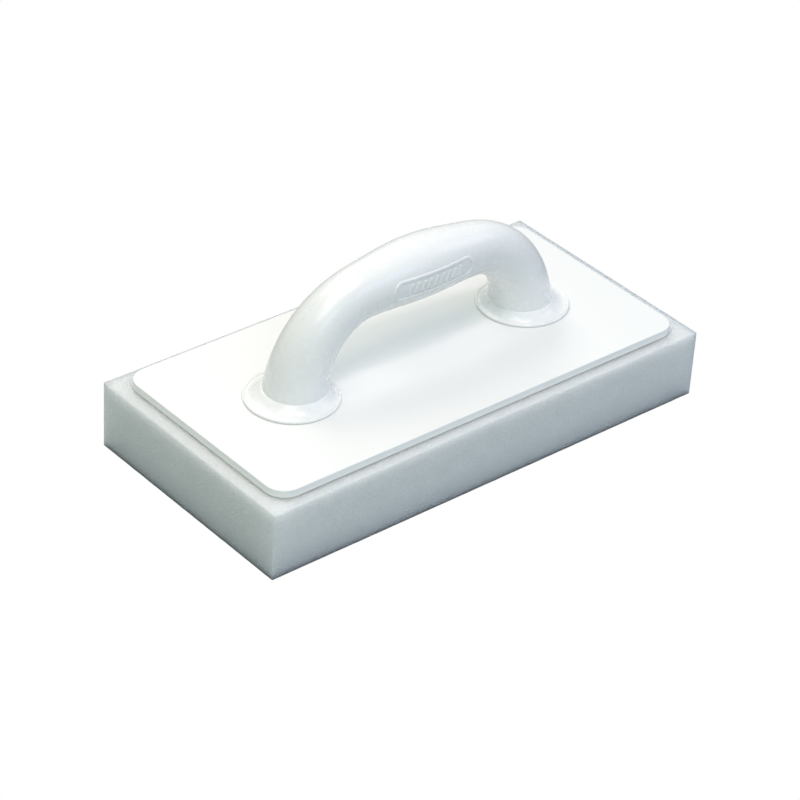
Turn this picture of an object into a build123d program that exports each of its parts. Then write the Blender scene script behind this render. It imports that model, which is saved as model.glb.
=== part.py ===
"""Grout float: a sponge pad bonded under a moulded plate, and a hollow arched handle on two collars.

X runs along the float, Y across it and Z up. The origin is at the middle of the pad's working face.
"""

import os
from math import cos, pi

from build123d import *

os.makedirs("parts", exist_ok=True)

# ---- driving dimensions, mm and degrees ----
pad_length = 280
pad_width = 140
pad_height = 38.5

film_thickness = 0.5
film_margin = 0.2  # the adhesive stops this far inside the plate's outline

plate_length = 264
plate_width = 127
plate_thickness = 4
plate_corner = 11
plate_edge = 0.6

handle_x = 1.8  # the handle's middle stands this far along from the pad's
collar_spread = 76.9  # each collar's middle to the handle's middle
collar_radius = 25
collar_floor = 1.1
collar_bead = 0.9  # radius of the rounded rim
collar_height = 5.2
collar_rise_power = 1.6  # the collar climbs slowly near its rim and steeply at its neck
collar_sections = 7
neck_radius = 17.3
pocket_radius = 15
pocket_height = 3.6
spigot_radius = 13.2
spigot_wall = 1.6
spigot_height = 2.4

crown_z = 92.3  # centre of the grip's section at its highest point
grip_bends = ((354, 5.5), (44.5, 52), (50, 32.5))  # radius and turn, from the crown outwards
belly_radius = 16.7
waist_radius = 14
leg_radius = 17.1
waist_at = 0.44  # share of the way from the crown to the leg's end
leg_flare_power = 1.64
grip_sections = 21

shell_wall = 2.6
rib_thickness = 1.6
rib_depth = 4
rib_places = (0.2, 0.32, 0.42, 0.58, 0.68, 0.8)  # shares of the whole grip's length
boss_radius = 4
boss_height = 16
web_gap = 0.6
pilot_radius = 1.75
pilot_depth = 14
post_radius = 3.2
post_places = ((-40, 89.5), (0, 92), (40, 89.5))  # from the handle's middle
pin_radius = 1.5
pin_length = 4
pin_gap = 0.05

badge_length = 52
badge_height = 11.5
badge_rim = 1.2
badge_relief = 0.5
badge_marks = 9
badge_mark_size = (1.3, 5.6)
badge_mark_pitch = 4
badge_mark_slant = -20

screw_y = 6.5
screw_length = 22
screw_head_radius = 4
screw_core_radius = 1.45
screw_crest_radius = 2
screw_pitch = 1.4
screw_sunk = 0.1
recess_size = (4.2, 0.9)
recess_depth = 1.5
plate_hole_radius = 2.2
collar_hole_radius = 2.3
seat_angle = 90  # of the countersunk head and its seat

# ---- heights worked out from them ----
plate_base = pad_height + film_thickness
plate_top = plate_base + plate_thickness
seat_z = plate_top + collar_height
web_base = seat_z + spigot_height + web_gap  # the webs beside the screw bosses clear the collar's ring
screw_base = plate_base + screw_sunk


# ---- the grip's middle line and round section, shared by both shells ----
def grip_path():
    """The arch's middle line from foot to foot. It ends below the seats, where the legs are cut off flat."""
    with BuildLine(Plane.XZ) as arch:
        end = (handle_x, crown_z)
        heading = (1, 0)
        for radius, turn in grip_bends:
            bend = JernArc(end, heading, radius, -turn)
            end = bend @ 1
            heading = bend % 1
        mirror(about=Plane.YZ.offset(handle_x))
    return arch.wires()[0]


def section_radius(share):
    """Radius of the grip's section: full at the crown, slim at the shoulders, wide at the feet."""
    out = abs(2 * share - 1)
    if out < waist_at:
        return waist_radius + (belly_radius - waist_radius) * cos(pi / 2 * out / waist_at) ** 2
    flare = ((out - waist_at) / (1 - waist_at)) ** leg_flare_power
    return waist_radius + (leg_radius - waist_radius) * flare


middle_line = grip_path()
leg_places = ((middle_line @ 0).X, (middle_line @ 1).X)
screw_places = [(x, y) for x in leg_places for y in (-screw_y, screw_y)]


def section_plane(share):
    """The plane square to the middle line at a share of its length."""
    return Plane(middle_line.position_at(share), x_dir=(0, 1, 0), z_dir=middle_line.tangent_at(share))


def grip_core(inset):
    """The grip's round arch with its surface moved in by inset, cut flat where it meets the collars."""
    with BuildPart() as core:
        for step in range(grip_sections):
            share = step / (grip_sections - 1)
            with BuildSketch(section_plane(share)):
                Circle(section_radius(share) - inset)
        loft()
        split(bisect_by=Plane.XY.offset(seat_z), keep=Keep.TOP)
    return core.part


outer_core = grip_core(0)
inner_core = grip_core(shell_wall)
bond_core = grip_core(shell_wall / 2)  # inner features reach into the wall as far as this
badge_core = grip_core(-badge_relief)


# ---- pad, adhesive and plate ----
with BuildPart() as sponge_pad:
    with BuildSketch():
        Rectangle(pad_length, pad_width)
    extrude(amount=pad_height)

with BuildPart() as pad_adhesive:
    with BuildSketch(Plane.XY.offset(pad_height)):
        RectangleRounded(plate_length, plate_width, plate_corner)
        offset(amount=-film_margin)
    extrude(amount=film_thickness)

with BuildPart() as backing_plate:
    with BuildSketch(Plane.XY.offset(plate_base)):
        RectangleRounded(plate_length, plate_width, plate_corner)
    extrude(amount=plate_thickness)
    fillet(backing_plate.edges().group_by(Axis.Z)[-1], plate_edge)
    with Locations(*[Plane((x, y, plate_base), z_dir=(0, 0, -1)) for x, y in screw_places]):
        CounterSinkHole(plate_hole_radius, screw_head_radius + screw_sunk, plate_thickness, seat_angle)


# ---- the two collars ----
def foot_collar(middle, leg):
    """A round flange with a beaded rim that climbs to the leg's seat, which is nearer the float's middle."""
    rim_centre = collar_radius - collar_bead
    skirt_radius = rim_centre - collar_bead
    with BuildPart() as collar:
        with BuildSketch(Plane((middle, 0, plate_top), x_dir=(1, 0, 0), z_dir=(0, -1, 0))):
            Rectangle(rim_centre, collar_floor, align=(Align.MIN, Align.MIN))
            with Locations((rim_centre, collar_bead)):
                Circle(collar_bead)
        revolve(axis=Axis((middle, 0, 0), (0, 0, 1)))
        for step in range(collar_sections):
            share = step / (collar_sections - 1)
            height = collar_floor + (collar_height - collar_floor) * share**collar_rise_power
            with BuildSketch(Plane((middle + (leg - middle) * share, 0, plate_top + height))):
                Circle(skirt_radius + (neck_radius - skirt_radius) * share)
        loft()
        with BuildSketch(Plane((leg, 0, seat_z))):
            Circle(spigot_radius)
            Circle(spigot_radius - spigot_wall, mode=Mode.SUBTRACT)
        extrude(amount=spigot_height)
        with BuildSketch(Plane((leg, 0, plate_top))):
            Circle(pocket_radius)
            with Locations((0, -screw_y), (0, screw_y)):
                Circle(boss_radius, mode=Mode.SUBTRACT)
        extrude(amount=pocket_height, mode=Mode.SUBTRACT)
        with Locations((leg, -screw_y, plate_top), (leg, screw_y, plate_top)):
            Hole(collar_hole_radius, collar_height)
    return collar.part


front_foot_collar = foot_collar(handle_x + collar_spread, leg_places[1])
rear_foot_collar = foot_collar(handle_x - collar_spread, leg_places[0])


# ---- the two half shells of the handle ----
def handle_shell(side):
    """One half of the hollow handle, on the +Y side (side = 1) or the -Y side (side = -1)."""
    with BuildPart() as features:
        for x in leg_places:
            with BuildSketch(Plane((x, side * screw_y, seat_z))):
                Circle(boss_radius)
            extrude(amount=boss_height)
            with BuildSketch(Plane((x, side * screw_y, web_base))):
                Rectangle(4 * boss_radius, rib_thickness)
                Rectangle(rib_thickness, 4 * boss_radius)
            extrude(amount=seat_z + boss_height - web_base)
        for share in rib_places:
            with BuildSketch(section_plane(share)):
                Circle(section_radius(share))
                Circle(section_radius(share) - shell_wall - rib_depth, mode=Mode.SUBTRACT)
            extrude(amount=rib_thickness / 2, both=True)
        for x, z in post_places:
            with BuildSketch(Plane((handle_x + x, 0, z), z_dir=(0, side, 0))):
                Circle(post_radius)
            extrude(amount=belly_radius)
        add(bond_core, mode=Mode.INTERSECT)

    with BuildPart() as shell:
        add(outer_core)
        add(inner_core, mode=Mode.SUBTRACT)
        add(features.part)
        split(bisect_by=Plane.XZ, keep=Keep.BOTTOM if side > 0 else Keep.TOP)
        with Locations(*[(x, side * screw_y, seat_z) for x in leg_places]):
            Hole(pilot_radius, pilot_depth)
    return shell.part


with BuildPart() as handle_shell_left:
    add(handle_shell(1))
    for x, z in post_places:
        with BuildSketch(Plane((handle_x + x, 0, z), z_dir=(0, -1, 0))):
            Circle(pin_radius)
        extrude(amount=pin_length)

with BuildPart() as badge:
    add(badge_core)
    add(bond_core, mode=Mode.SUBTRACT)
    with BuildSketch(Plane((handle_x, 0, crown_z), x_dir=(1, 0, 0), z_dir=(0, -1, 0))):
        SlotOverall(badge_length, badge_height)
        SlotOverall(badge_length - 2 * badge_rim, badge_height - 2 * badge_rim, mode=Mode.SUBTRACT)
        with GridLocations(badge_mark_pitch, 0, badge_marks, 1):
            Rectangle(*badge_mark_size, rotation=badge_mark_slant)
    extrude(amount=2 * belly_radius, mode=Mode.INTERSECT)

with BuildPart() as handle_shell_right:
    add(handle_shell(-1))
    add(badge.part)
    for x, z in post_places:
        with BuildSketch(Plane((handle_x + x, 0, z), z_dir=(0, -1, 0))):
            Circle(pin_radius + pin_gap)
        extrude(amount=pin_length + 1, mode=Mode.SUBTRACT)


# ---- the four screws that hold the handle ----
def plate_screw():
    """A countersunk self-tapping screw, head down at z = 0, with its thread drawn as rings."""
    head_height = screw_head_radius - screw_core_radius
    tip_height = 2 * screw_core_radius
    outline = [(0, 0), (screw_head_radius, 0), (screw_core_radius, head_height)]
    rings = int((screw_length - head_height - tip_height) / screw_pitch)
    for ring in range(rings):
        foot = head_height + (ring + 0.3) * screw_pitch
        outline.append((screw_core_radius, foot))
        outline.append((screw_crest_radius, foot + 0.3 * screw_pitch))
        outline.append((screw_crest_radius, foot + 0.4 * screw_pitch))
        outline.append((screw_core_radius, foot + 0.7 * screw_pitch))
    outline += [(screw_core_radius, screw_length - tip_height), (0, screw_length)]
    with BuildPart() as screw:
        with BuildSketch(Plane.XZ):
            with BuildLine():
                Polyline(*outline, close=True)
            make_face()
        revolve(axis=Axis.Z)
        with BuildSketch():
            Rectangle(*recess_size)
            Rectangle(*reversed(recess_size))
        extrude(amount=recess_depth, mode=Mode.SUBTRACT)
    return screw.part


one_screw = plate_screw()
with BuildPart() as plate_screws:
    with Locations(*[(x, y, screw_base) for x, y in screw_places]):
        add(one_screw)


# ---- labels and STEP files ----
pieces = {
    "sponge_pad": sponge_pad.part,
    "pad_adhesive": pad_adhesive.part,
    "backing_plate": backing_plate.part,
    "front_foot_collar": front_foot_collar,
    "rear_foot_collar": rear_foot_collar,
    "handle_shell_left": handle_shell_left.part,
    "handle_shell_right": handle_shell_right.part,
    "plate_screws": plate_screws.part,
}
for name, piece in pieces.items():
    piece.label = name
    export_step(piece, f"parts/{name}.step")
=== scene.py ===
"""Looks of a grout float: cut foam, its glue line, a moulded plate, two foot collars, a glossy handle."""

from math import cos, pi, radians, sin, sqrt

import bmesh
import bpy
from mathutils import Matrix, Vector, noise


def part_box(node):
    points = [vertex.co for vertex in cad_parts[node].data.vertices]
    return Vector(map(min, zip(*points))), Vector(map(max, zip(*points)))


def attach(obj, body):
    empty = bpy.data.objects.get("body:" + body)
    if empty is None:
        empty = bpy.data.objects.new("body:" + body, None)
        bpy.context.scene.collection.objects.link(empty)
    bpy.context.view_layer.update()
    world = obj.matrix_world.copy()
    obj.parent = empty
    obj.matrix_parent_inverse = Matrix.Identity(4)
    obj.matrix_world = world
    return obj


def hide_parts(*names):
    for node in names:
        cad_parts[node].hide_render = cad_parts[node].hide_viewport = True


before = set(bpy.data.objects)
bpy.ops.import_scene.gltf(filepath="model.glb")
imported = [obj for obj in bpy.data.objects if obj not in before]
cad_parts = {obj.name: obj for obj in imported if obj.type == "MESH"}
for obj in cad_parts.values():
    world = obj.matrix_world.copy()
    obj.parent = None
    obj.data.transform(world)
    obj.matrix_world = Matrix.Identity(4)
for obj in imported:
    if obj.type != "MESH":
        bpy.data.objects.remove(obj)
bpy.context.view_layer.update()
MM = 0.001


# ---------------------------------------------------------------- camera

VIEW_TARGET = Vector((-4.8, -2.4, 15.0)) * MM
VIEW_AZIMUTH = radians(-41.8)
VIEW_ELEVATION = radians(33.85)
VIEW_ROLL = radians(3.66)
VIEW_DISTANCE = 1.6007
VIEW_LENS = 139.8
SENSOR_WIDTH = 36


def place_camera():
    """A long lens that looks down on the float's front left corner."""
    back = Vector((
        sin(VIEW_AZIMUTH) * cos(VIEW_ELEVATION),
        -cos(VIEW_AZIMUTH) * cos(VIEW_ELEVATION),
        sin(VIEW_ELEVATION),
    ))
    right = Vector((cos(VIEW_AZIMUTH), sin(VIEW_AZIMUTH), 0))
    level = Matrix((right, back.cross(right), back)).transposed()
    turn = level @ Matrix.Rotation(VIEW_ROLL, 3, "Z")
    data = bpy.data.cameras.new("camera")
    data.lens = VIEW_LENS
    data.sensor_width = SENSOR_WIDTH
    camera = bpy.data.objects.new("camera", data)
    camera.matrix_world = Matrix.Translation(VIEW_TARGET + back * VIEW_DISTANCE) @ turn.to_4x4()
    bpy.context.scene.collection.objects.link(camera)
    bpy.context.scene.camera = camera


# ---------------------------------------------------------------- shader helpers

def fill_node(tree, node, inputs):
    """Sets or links a node's inputs, given by name or number."""
    for name, value in inputs.items():
        if isinstance(value, bpy.types.NodeSocket):
            tree.links.new(value, node.inputs[name])
        else:
            node.inputs[name].default_value = value
    return node


def add_node(tree, kind, inputs, **settings):
    """A node with its settings and inputs."""
    node = tree.nodes.new("ShaderNode" + kind)
    for name, value in settings.items():
        setattr(node, name, value)
    return fill_node(tree, node, inputs)


COLOR_A, COLOR_B, COLOR_RESULT = 6, 7, 2  # a Mix node's colour sockets, which share names with others


def add_mix(tree, factor, first, second, blend="MIX"):
    """The colour between two colours."""
    node = add_node(tree, "Mix", {"Factor": factor}, data_type="RGBA", blend_type=blend)
    fill_node(tree, node, {COLOR_A: first, COLOR_B: second})
    return node.outputs[COLOR_RESULT]


def add_math(tree, operation, first, second):
    """The number that an operation on two numbers gives."""
    return add_node(tree, "Math", {0: first, 1: second}, operation=operation).outputs[0]


def add_range(tree, value, low, high, to_low=0.0, to_high=1.0):
    """A value moved from one range to another, and held inside it."""
    return add_node(tree, "MapRange", {
        "Value": value, "From Min": low, "From Max": high, "To Min": to_low, "To Max": to_high,
    }).outputs["Result"]


def new_group(name, inputs, outputs):
    """A shared shader group with its inputs and outputs, and the sockets inside it."""
    group = bpy.data.node_groups.new(name, "ShaderNodeTree")
    for label, (kind, value) in inputs.items():
        socket = group.interface.new_socket(label, in_out="INPUT", socket_type="NodeSocket" + kind)
        if value is not None:
            socket.default_value = value
    for label, kind in outputs.items():
        group.interface.new_socket(label, in_out="OUTPUT", socket_type="NodeSocket" + kind)
    return group, group.nodes.new("NodeGroupInput").outputs, group.nodes.new("NodeGroupOutput")


def add_group(tree, group, inputs):
    """A shared group placed in a material with the material's own values."""
    node = tree.nodes.new("ShaderNodeGroup")
    node.node_tree = group
    return fill_node(tree, node, inputs).outputs


def new_material(name, **constants):
    """A material, its tree, its shader with the given constants, and its Object coordinates."""
    material = bpy.data.materials.new(name)
    material.use_nodes = True
    tree = material.node_tree
    shader = tree.nodes["Principled BSDF"]
    for label, value in constants.items():
        shader.inputs[label.replace("_", " ")].default_value = value
    return material, tree, shader, tree.nodes.new("ShaderNodeTexCoord").outputs["Object"]


# ---------------------------------------------------------------- shared effects

NOISE_BAND = (0.3, 0.7)  # nearly all of a noise's values
NARROW_BAND = (0.35, 0.65)
STREAK_BAND = (0.60, 0.72)
PATCH_BAND = (0.50, 0.68)
PORE_BAND = (0.75, 0.15)  # from the walls to a cell's middle
SCUFF_TURN = (0.3, 0.2, 0.6)
SCUFF_STRETCH = (1.0, 9.0, 4.0)
CELL_WANDER = (0.0012, 0.0012, 0.0012)


def make_skin_group():
    """Skin of a moulding: long shallow waves, a fine grain over them, and a gloss that varies a little."""
    group, given, result = new_group("moulded_skin", {
        "Vector": ("Vector", None),
        "Wave Scale": ("Float", 150.0), "Wave Depth": ("Float", 0.00004),
        "Grain Scale": ("Float", 1500.0), "Grain Depth": ("Float", 0.0000015),
        "Roughness": ("Float", 0.3), "Roughness Spread": ("Float", 0.015),
    }, {"Roughness": "Float", "Normal": "Vector"})
    waves = add_node(group, "TexNoise", {
        "Vector": given["Vector"], "Scale": given["Wave Scale"], "Detail": 1.0})
    grain = add_node(group, "TexNoise", {
        "Vector": given["Vector"], "Scale": given["Grain Scale"], "Detail": 2.0})
    broad = add_node(group, "Bump", {"Distance": given["Wave Depth"], "Height": waves.outputs["Fac"]})
    fine = add_node(group, "Bump", {
        "Distance": given["Grain Depth"], "Height": grain.outputs["Fac"],
        "Normal": broad.outputs["Normal"]})
    swing = add_range(group, waves.outputs["Fac"], *NOISE_BAND, -1.0, 1.0)
    spread = add_math(group, "MULTIPLY", given["Roughness Spread"], swing)
    gloss = add_math(group, "ADD", given["Roughness"], spread)
    fill_node(group, result, {"Roughness": gloss, "Normal": fine.outputs["Normal"]})
    return group


def make_scuff_group():
    """Mask of faint scuffs from handling: short broken streaks, only here and there."""
    group, given, result = new_group("handling_scuffs", {
        "Vector": ("Vector", None), "Scale": ("Float", 60.0), "Amount": ("Float", 0.3),
    }, {"Mask": "Float"})
    stretched = add_node(group, "Mapping", {
        "Vector": given["Vector"], "Rotation": SCUFF_TURN, "Scale": SCUFF_STRETCH})
    streaks = add_node(group, "TexNoise", {
        "Vector": stretched.outputs["Vector"], "Scale": given["Scale"], "Detail": 5.0, "Roughness": 0.7})
    patches = add_node(group, "TexNoise", {"Vector": given["Vector"], "Scale": 22.0, "Detail": 2.0})
    lines = add_range(group, streaks.outputs["Fac"], *STREAK_BAND)
    zones = add_range(group, patches.outputs["Fac"], *PATCH_BAND)
    both = add_math(group, "MULTIPLY", lines, zones)
    fill_node(group, result, {"Mask": add_math(group, "MULTIPLY", both, given["Amount"])})
    return group


def make_cell_group():
    """Open cells of a cut sponge: a relief of pores with torn walls between them, and the pores' mask."""
    group, given, result = new_group("sponge_cells", {
        "Vector": ("Vector", None), "Scale": ("Float", 1300.0), "Depth": ("Float", 0.0002),
    }, {"Pores": "Float", "Normal": "Vector"})
    wander = add_node(group, "TexNoise", {"Vector": given["Vector"], "Scale": 500.0, "Detail": 2.0})
    bent = add_node(group, "VectorMath", {
        0: wander.outputs["Color"], 1: CELL_WANDER}, operation="MULTIPLY")
    moved = add_node(group, "VectorMath", {0: given["Vector"], 1: bent.outputs[0]}, operation="ADD")
    cells = add_node(group, "TexVoronoi", {
        "Vector": moved.outputs[0], "Scale": given["Scale"], "Randomness": 0.9})
    tears = add_node(group, "TexNoise", {
        "Vector": given["Vector"], "Scale": 420.0, "Detail": 5.0, "Roughness": 0.7})
    pores = add_range(group, cells.outputs["Distance"], *PORE_BAND)
    relief = add_math(group, "SUBTRACT", pores, tears.outputs["Fac"])
    bump = add_node(group, "Bump", {"Distance": given["Depth"], "Height": relief}, invert=True)
    fill_node(group, result, {"Pores": pores, "Normal": bump.outputs["Normal"]})
    return group


moulded_skin = make_skin_group()
handling_scuffs = make_scuff_group()
sponge_cells = make_cell_group()


# ---------------------------------------------------------------- materials

FOAM_LIGHT = (0.90, 0.91, 0.90, 1)
FOAM_SHADE = (0.87, 0.88, 0.87, 1)
FOAM_SPECK = (0.93, 0.93, 0.93, 1)
FOAM_PORE_SHADE = (0.94, 0.945, 0.94, 1)
FOAM_BOTTOM_SHADE = (0.70, 0.72, 0.735, 1)  # painted shade: the colour the foam darkens to at its bottom face
PAINTED_SHADE_HEIGHT = 0.018
GLUE_DEEP = (0.60, 0.56, 0.46, 1)
GLUE_PALE = (0.78, 0.75, 0.66, 1)
SCUFFED = (0.62, 0.63, 0.63, 1)
ZINC_COOL = (0.58, 0.60, 0.62, 1)
ZINC_WARM = (0.72, 0.69, 0.60, 1)
WHITE = (1, 1, 1, 1)
PLASTICS = {  # name: light colour, shade colour, moulded skin, amount of scuffs
    "plate_plastic": ((0.89, 0.88, 0.87, 1), (0.87, 0.86, 0.85, 1), {
        "Wave Scale": 90.0, "Wave Depth": 0.00001, "Grain Scale": 1800.0, "Grain Depth": 0.000002,
        "Roughness": 0.38, "Roughness Spread": 0.05}, 0.16),
    "collar_plastic": ((0.88, 0.875, 0.87, 1), (0.86, 0.855, 0.85, 1), {
        "Wave Scale": 220.0, "Wave Depth": 0.000006, "Roughness": 0.28}, 0.08),
    "handle_plastic": ((0.88, 0.875, 0.87, 1), (0.865, 0.86, 0.855, 1), {
        "Wave Scale": 170.0, "Wave Depth": 0.000008, "Roughness": 0.27}, 0.1),
}


def foam_material():
    """Fine sponge cut with a blade: light scatters in it, its cells show as a faint mottled grain, and
    painted shade darkens its pores and its lowest part.
    """
    material, tree, shader, place = new_material(
        "cut_foam", Roughness=0.95, Specular_IOR_Level=0.1,
        Subsurface_Weight=1.0, Subsurface_Radius=(1.0, 1.0, 0.95), Subsurface_Scale=0.026)
    cells = add_group(tree, sponge_cells, {"Vector": place})
    clouds = add_node(tree, "TexNoise", {"Vector": place, "Scale": 95.0, "Detail": 5.0, "Roughness": 0.6})
    mottle = add_node(tree, "TexNoise", {"Vector": place, "Scale": 600.0, "Detail": 3.0, "Roughness": 0.7})
    body = add_mix(tree, add_range(tree, clouds.outputs["Fac"], *NARROW_BAND), FOAM_SHADE, FOAM_LIGHT)
    specks = add_mix(tree, add_range(tree, mottle.outputs["Fac"], *NOISE_BAND), FOAM_SPECK, WHITE)
    toned = add_mix(tree, 1.0, body, specks, "MULTIPLY")
    # painted shade: the middles of the cells, which the relief sinks, are darkened a little
    pores = add_mix(tree, cells["Pores"], WHITE, FOAM_PORE_SHADE)
    grained = add_mix(tree, 1.0, toned, pores, "MULTIPLY")
    # painted shade: the colour darkens towards the pad's bottom face, over its lowest 18 mm
    height = add_node(tree, "SeparateXYZ", {"Vector": place}).outputs["Z"]
    bottom_shade = add_range(tree, height, 0.0, PAINTED_SHADE_HEIGHT, 1.0, 0.0)
    color = add_mix(tree, bottom_shade, grained, FOAM_BOTTOM_SHADE)
    fill_node(tree, shader, {"Base Color": color, "Normal": cells["Normal"]})
    return material


def glue_material():
    """Set contact adhesive: a creamy film with small lumps and a dull shine."""
    material, tree, shader, place = new_material(
        "glue_film", Subsurface_Weight=0.3, Subsurface_Scale=0.001)
    skin = add_group(tree, moulded_skin, {
        "Vector": place, "Wave Scale": 420.0, "Wave Depth": 0.00015, "Grain Scale": 2500.0,
        "Grain Depth": 0.00003, "Roughness": 0.5, "Roughness Spread": 0.12})
    clouds = add_node(tree, "TexNoise", {"Vector": place, "Scale": 80.0, "Detail": 4.0})
    color = add_mix(tree, clouds.outputs["Fac"], GLUE_DEEP, GLUE_PALE)
    fill_node(tree, shader, {
        "Base Color": color, "Roughness": skin["Roughness"], "Normal": skin["Normal"]})
    return material


def plastic_material(name):
    """White plastic: a slightly cloudy colour, its own skin, and faint scuffs that dull the gloss."""
    light, shade, skin_values, scuffs = PLASTICS[name]
    material, tree, shader, place = new_material(
        name, Specular_IOR_Level=0.5, Coat_Weight=0.1, Coat_Roughness=0.2)
    skin = add_group(tree, moulded_skin, {"Vector": place, **skin_values})
    scuff = add_group(tree, handling_scuffs, {"Vector": place, "Amount": scuffs})
    clouds = add_node(tree, "TexNoise", {"Vector": place, "Scale": 30.0, "Detail": 1.0})
    body = add_mix(tree, clouds.outputs["Fac"], shade, light)
    color = add_mix(tree, scuff["Mask"], body, SCUFFED)
    dulled = add_math(tree, "ADD", skin["Roughness"], scuff["Mask"])
    fill_node(tree, shader, {"Base Color": color, "Roughness": dulled, "Normal": skin["Normal"]})
    return material


def screw_material():
    """Bright zinc on steel: a slightly uneven skin with a faint warm and cool bloom."""
    material, tree, shader, place = new_material("zinc_steel", Metallic=1.0)
    skin = add_group(tree, moulded_skin, {
        "Vector": place, "Wave Scale": 500.0, "Wave Depth": 0.00003, "Grain Scale": 4000.0,
        "Grain Depth": 0.00001, "Roughness": 0.32, "Roughness Spread": 0.1})
    bloom = add_node(tree, "TexNoise", {"Vector": place, "Scale": 350.0, "Detail": 3.0})
    tint = add_mix(tree, add_range(tree, bloom.outputs["Fac"], *NARROW_BAND), ZINC_COOL, ZINC_WARM)
    fill_node(tree, shader, {
        "Base Color": tint, "Roughness": skin["Roughness"], "Normal": skin["Normal"]})
    return material


# ---------------------------------------------------------------- pieces

CORNER_ANGLE = radians(30)


def finish_piece(bm, name, material):
    """The bmesh as a smoothly shaded object at the origin, with one material."""
    mesh = bpy.data.meshes.new(name)
    bm.to_mesh(mesh)
    bm.free()
    mesh.materials.append(material)
    mesh.shade_smooth()
    piece = bpy.data.objects.new(name, mesh)
    bpy.context.scene.collection.objects.link(piece)
    return piece


FOAM_EDGE = 0.5 * MM
FOAM_STEP = 1.6 * MM
FOAM_RIPPLE = 0.06 * MM
FOAM_WAVES = (160, 420)  # broad and fine
FOAM_FINE_SHARE = 0.6
FOAM_SINK = 1.6  # the two waves' greatest sum, so that the ripple only goes inwards


def make_foam(material):
    """The sponge pad: a blade-cut block with faintly softened edges and slightly uneven faces."""
    low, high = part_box("sponge_pad")
    size = high - low
    bm = bmesh.new()
    bmesh.ops.create_cube(bm, size=1.0)
    bmesh.ops.scale(bm, vec=size, verts=bm.verts)
    bmesh.ops.translate(bm, vec=(low + high) / 2, verts=bm.verts)
    bmesh.ops.bevel(bm, geom=bm.edges[:], offset=FOAM_EDGE, segments=2, profile=0.5,
                    affect="EDGES", material=-1)
    for axis in range(3):
        runs = [e for e in bm.edges if abs((e.verts[0].co - e.verts[1].co)[axis]) > size[axis] / 2]
        cuts = round(size[axis] / FOAM_STEP) - 1
        bmesh.ops.subdivide_edges(bm, edges=runs, cuts=cuts, use_grid_fill=True)
    bm.normal_update()
    for vert in bm.verts:
        broad, fine = (noise.noise(vert.co * scale) for scale in FOAM_WAVES)
        ripple = broad + FOAM_FINE_SHARE * fine
        vert.co -= vert.normal * FOAM_RIPPLE * (FOAM_SINK + ripple)
    foam = finish_piece(bm, "foam_pad", material)
    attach(foam, "root")
    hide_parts("sponge_pad")


HANDLE_X = 1.8 * MM  # how far the handle stands from the pad's middle
CROWN_Z = 92.3 * MM  # the highest point of the handle's middle line
SEAT_Z = 48.2 * MM  # where the legs stand on their collars
BENDS = (  # radius, turn in degrees, steps
    (354 * MM, 5.5, 20),
    (44.5 * MM, 52, 52),
    (50 * MM, 32.5, 34),
)
LEG_X = 75.03 * MM  # from the crown to a leg's middle
HALF_LENGTH = sum(radius * radians(turn) for radius, turn, _ in BENDS)
BELLY, WAIST, LEG = 16.67 * MM, 13.97 * MM, 17.07 * MM  # radii
WAIST_AT = 0.44  # share of the way from the crown to the foot
LEG_FLARE = 1.64
WALL = 2.6 * MM
ROUND_STEPS = 60
SEAM_EDGE = 0.12 * MM
CUT_DISTANCE = 1e-7
MERGE_DISTANCE = 1e-6
SCREW_Y = 6.5 * MM
BOSS = (1.75 * MM, 4 * MM, 16 * MM)  # pilot radius, outer radius, height
BOSS_STEPS = 32
BADGE = (52 * MM, 11.5 * MM, 1.4 * MM)  # length, height, rim width
BADGE_RELIEF = 0.5 * MM
BADGE_EDGE = 0.3 * MM
RIM_STEPS = 50
RIM_CUTS = 40
BADGE_MARKS = 9
MARK_SIZE = Vector((1.3, 1.0, 5.6)) * MM
MARK_PITCH = 4 * MM
MARK_SLANT = radians(20)


def grip_radius(run):
    """Radius of the grip at a distance along it from the crown: full, then slim, then wide at the foot."""
    out = abs(run) / HALF_LENGTH
    if out < WAIST_AT:
        return WAIST + (BELLY - WAIST) * cos(pi / 2 * out / WAIST_AT) ** 2
    return WAIST + (LEG - WAIST) * ((out - WAIST_AT) / (1 - WAIST_AT)) ** LEG_FLARE


def half_round(bm, radius, side):
    """Half a circle about the X axis, from its top down the given side to its bottom."""
    start = bm.verts.new((0, 0, radius))
    swept = bmesh.ops.spin(bm, geom=[start], axis=(1, 0, 0), cent=(0, 0, 0),
                           angle=-side * pi, steps=ROUND_STEPS)
    return start, swept["geom_last"][0]


def grip_section(bm, side):
    """The C-shaped section of one shell, closed along the seam, with its outer corners eased."""
    outer_top, outer_low = half_round(bm, grip_radius(0), side)
    inner_top, inner_low = half_round(bm, grip_radius(0) - WALL, side)
    bm.edges.new((outer_top, inner_top))
    bm.edges.new((outer_low, inner_low))
    bmesh.ops.bevel(bm, geom=[outer_top, outer_low], offset=SEAM_EDGE, segments=2, profile=0.5,
                    affect="VERTICES", material=-1)


def picked(items, kind):
    """The items of one kind, such as the edges among new geometry."""
    return [item for item in items if isinstance(item, kind)]


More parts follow.
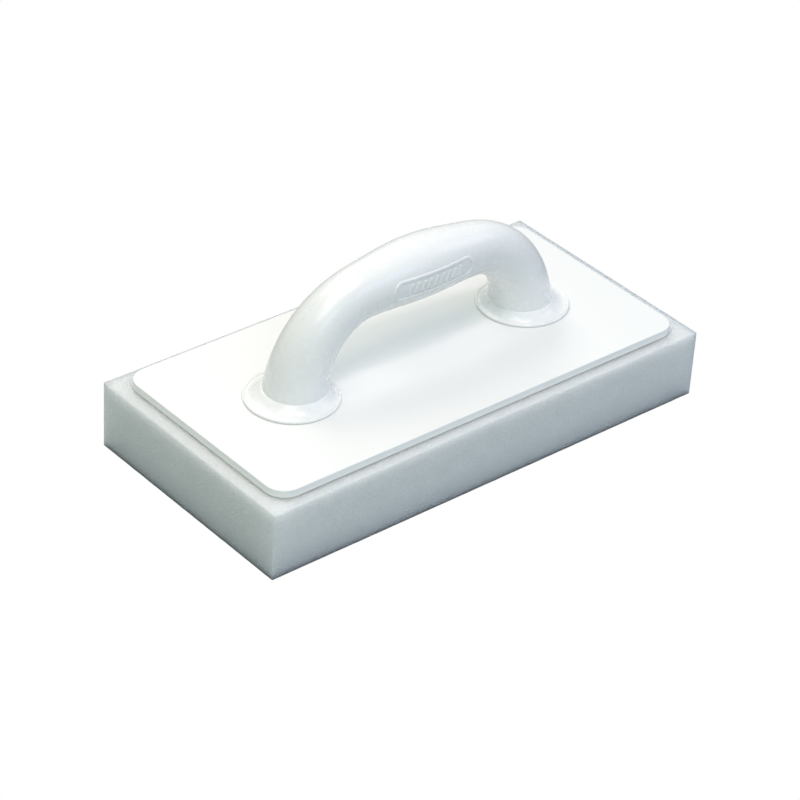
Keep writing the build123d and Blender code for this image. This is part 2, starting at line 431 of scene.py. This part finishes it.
def sweep_grip(bm):
    """Carries the section from the crown down to the foot, bend by bend, resized as it goes."""
    edges = bm.edges[:]
    middle = Vector((0, 0, 0))
    heading = 0.0
    run = 0.0
    evenly = Vector((1, 1, 1))
    for radius, turn, steps in BENDS:
        pivot = middle - radius * Vector((sin(heading), 0, cos(heading)))
        angle = radians(turn) / steps
        for _ in range(steps):
            before = grip_radius(run)
            run += radius * angle
            after = grip_radius(run)
            added = bmesh.ops.extrude_edge_only(bm, edges=edges)["geom"]
            edges = picked(added, bmesh.types.BMEdge)
            verts = picked(added, bmesh.types.BMVert)
            outer = [v for v in verts if (v.co - middle).length > before - WALL / 2]
            inner = [v for v in verts if (v.co - middle).length <= before - WALL / 2]
            to_middle = Matrix.Translation(-middle)
            bmesh.ops.scale(bm, vec=evenly * after / before, verts=outer, space=to_middle)
            bmesh.ops.scale(bm, vec=evenly * (after - WALL) / (before - WALL), verts=inner,
                            space=to_middle)
            bmesh.ops.rotate(bm, verts=verts, cent=pivot, matrix=Matrix.Rotation(angle, 3, "Y"))
            heading += angle
            middle = pivot + radius * Vector((sin(heading), 0, cos(heading)))


def cut_foot(bm):
    """Cuts the leg off flat at its seat and closes the cut."""
    cut = bmesh.ops.bisect_plane(
        bm, geom=bm.verts[:] + bm.edges[:] + bm.faces[:], dist=CUT_DISTANCE,
        plane_co=(0, 0, SEAT_Z - CROWN_Z), plane_no=(0, 0, -1), clear_outer=True)
    bmesh.ops.edgeloop_fill(bm, edges=picked(cut["geom_cut"], bmesh.types.BMEdge))


def screw_boss(bm, x, side):
    """A tube inside the leg that a screw bites into."""
    pilot, outer, height = BOSS
    y = side * SCREW_Y
    low = SEAT_Z - CROWN_Z
    outline = ((pilot, low), (outer, low), (outer, low + height), (pilot, low + height))
    corners = [bm.verts.new((x + radius, y, z)) for radius, z in outline]
    profile = [bm.edges.new((corners[i - 1], corners[i])) for i in range(len(corners))]
    bmesh.ops.spin(bm, geom=corners + profile, axis=(0, 0, 1), cent=(x, y, 0),
                   angle=2 * pi, steps=BOSS_STEPS, use_merge=True)


def make_grip_shell(side, name, node, material):
    """One hollow half of the handle, with the two bosses that its screws bite into."""
    bm = bmesh.new()
    grip_section(bm, side)
    sweep_grip(bm)
    cut_foot(bm)
    bmesh.ops.mirror(bm, geom=bm.verts[:] + bm.edges[:] + bm.faces[:], axis="X",
                     merge_dist=MERGE_DISTANCE)
    for x in (-LEG_X, LEG_X):
        screw_boss(bm, x, side)
    bmesh.ops.recalc_face_normals(bm, faces=bm.faces)
    bmesh.ops.translate(bm, vec=(HANDLE_X, 0, CROWN_Z), verts=bm.verts)
    shell = finish_piece(bm, name, material)
    shell.data.set_sharp_from_angle(angle=CORNER_ANGLE)
    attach(shell, "root")
    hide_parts(node)


def badge_rim(bm):
    """A flat pill-shaped ring in the XZ plane, with its straight runs cut finely to follow the grip."""
    length, height, width = BADGE
    upright = Matrix.Rotation(pi / 2, 4, "X")
    for radius in (height / 2, height / 2 - width):
        ring = bmesh.ops.create_circle(bm, segments=RIM_STEPS, radius=radius, matrix=upright)
        for vert in ring["verts"]:
            vert.co.x += (length - height) / 2 * (1 if vert.co.x > 0 else -1)
    straight = [edge for edge in bm.edges if edge.calc_length() > height]
    bmesh.ops.subdivide_edges(bm, edges=straight, cuts=RIM_CUTS)
    bmesh.ops.bridge_loops(bm, edges=bm.edges[:])


def make_badge(material):
    """The raised panel on the grip's side: a pill-shaped rim round a row of slanted bars."""
    bm = bmesh.new()
    badge_rim(bm)
    raised = bmesh.ops.extrude_face_region(bm, geom=bm.faces[:])["geom"]
    top = picked(raised, bmesh.types.BMVert)
    bmesh.ops.translate(bm, vec=(0, -2 * BADGE_RELIEF, 0), verts=top)
    for mark in range(BADGE_MARKS):
        x = (mark - (BADGE_MARKS - 1) / 2) * MARK_PITCH
        place = Matrix.Translation((x, -BADGE_RELIEF, 0)) @ Matrix.Rotation(MARK_SLANT, 4, "Y")
        bmesh.ops.create_cube(bm, size=1.0, matrix=place @ Matrix.Diagonal((*MARK_SIZE, 1)))
    bmesh.ops.recalc_face_normals(bm, faces=bm.faces)
    front = [edge for edge in bm.edges if max(vert.co.y for vert in edge.verts) < -1.5 * BADGE_RELIEF]
    rims = [edge for edge in front if edge.is_manifold and edge.calc_face_angle() > 2 * CORNER_ANGLE]
    bmesh.ops.bevel(bm, geom=rims, offset=BADGE_EDGE, segments=3, profile=0.5,
                    affect="EDGES", material=-1)
    arch = BENDS[0][0]
    for vert in bm.verts:
        lift = vert.co.z + arch - sqrt(arch ** 2 - vert.co.x ** 2)
        skin = sqrt(grip_radius(vert.co.x) ** 2 - lift ** 2)
        vert.co.y += BADGE_RELIEF - skin
    bmesh.ops.translate(bm, vec=(HANDLE_X, 0, CROWN_Z), verts=bm.verts)
    badge = finish_piece(bm, "grip_badge", material)
    badge.data.set_sharp_from_angle(angle=CORNER_ANGLE)
    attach(badge, "root")


def coat(node, material):
    """A CAD node's own material."""
    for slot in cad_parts[node].material_slots:
        slot.material = material


# ---------------------------------------------------------------- floor and lights

FLOOR_SIZE = 8
FLOOR_TONE = (0.25, 0.25, 0.25, 1)


def make_floor():
    """A plain sweep, white to the camera, that gives back only a little light to the float."""
    bpy.ops.mesh.primitive_plane_add(size=FLOOR_SIZE)
    floor = bpy.context.object
    floor.name = "floor"
    material, tree, shader, _ = new_material(
        "white_sweep", Base_Color=FLOOR_TONE, Roughness=0.9, Specular_IOR_Level=0.0)
    glow = add_node(tree, "Emission", {"Color": WHITE, "Strength": 1.0})
    path = add_node(tree, "LightPath", {})
    mix = add_node(tree, "MixShader", {
        0: path.outputs["Is Camera Ray"], 1: shader.outputs["BSDF"], 2: glow.outputs["Emission"]})
    fill_node(tree, tree.nodes["Material Output"], {"Surface": mix.outputs["Shader"]})
    floor.data.materials.append(material)


LIGHTS = {  # name: bearing and height in degrees, size in metres, power in watts, colour
    "key": ((270, 75), 0.3, 4.3, (1.0, 0.76, 0.83)),
    "back": ((90, 54), 0.7, 6.04, (1.0, 0.87, 0.78)),
    "left": ((215, 60), 0.6, 4.58, (0.98, 1.0, 0.87)),
    "left_high": ((180, 74), 0.4, 3.34, (1.0, 0.82, 0.62)),
    "back_right": ((67, 36), 0.6, 2.0, (0.86, 0.95, 1.0)),
    "front_left": ((247, 36), 0.6, 2.35, (0.81, 1.0, 0.97)),
    "front": ((292, 36), 0.6, 2.42, (0.50, 0.57, 1.0)),
    "front_right": ((337, 36), 0.6, 1.85, (0.71, 0.71, 1.0)),
}
LIGHT_TARGET = Vector((0, 0, 0.04))
LIGHT_REACH = 1.5
SURROUND = (0.288, 0.395, 0.407, 1)


def make_lights():
    """Soft boxes that face the float, and a dim even surround."""
    for name, ((bearing, height), size, power, color) in LIGHTS.items():
        away = Vector((
            cos(radians(bearing)) * cos(radians(height)),
            sin(radians(bearing)) * cos(radians(height)),
            sin(radians(height)),
        ))
        data = bpy.data.lights.new(name, "AREA")
        data.shape = "DISK"
        data.size = size
        data.energy = power
        data.color = color
        light = bpy.data.objects.new(name, data)
        light.location = LIGHT_TARGET + away * LIGHT_REACH
        light.rotation_euler = (-away).to_track_quat("-Z", "Y").to_euler()
        bpy.context.scene.collection.objects.link(light)
    world = bpy.data.worlds.new("surround")
    world.use_nodes = True
    tree = world.node_tree
    fill_node(tree, tree.nodes["Background"], {"Color": SURROUND, "Strength": 1.0})
    bpy.context.scene.world = world


bpy.context.scene.view_settings.view_transform = "Standard"
place_camera()
make_lights()
make_floor()

make_foam(foam_material())
coat("pad_adhesive", glue_material())
coat("backing_plate", plastic_material("plate_plastic"))
collar_plastic = plastic_material("collar_plastic")
coat("front_foot_collar", collar_plastic)
coat("rear_foot_collar", collar_plastic)
handle_plastic = plastic_material("handle_plastic")
make_grip_shell(1, "grip_shell_left", "handle_shell_left", handle_plastic)
make_grip_shell(-1, "grip_shell_right", "handle_shell_right", handle_plastic)
make_badge(handle_plastic)
coat("plate_screws", screw_material())
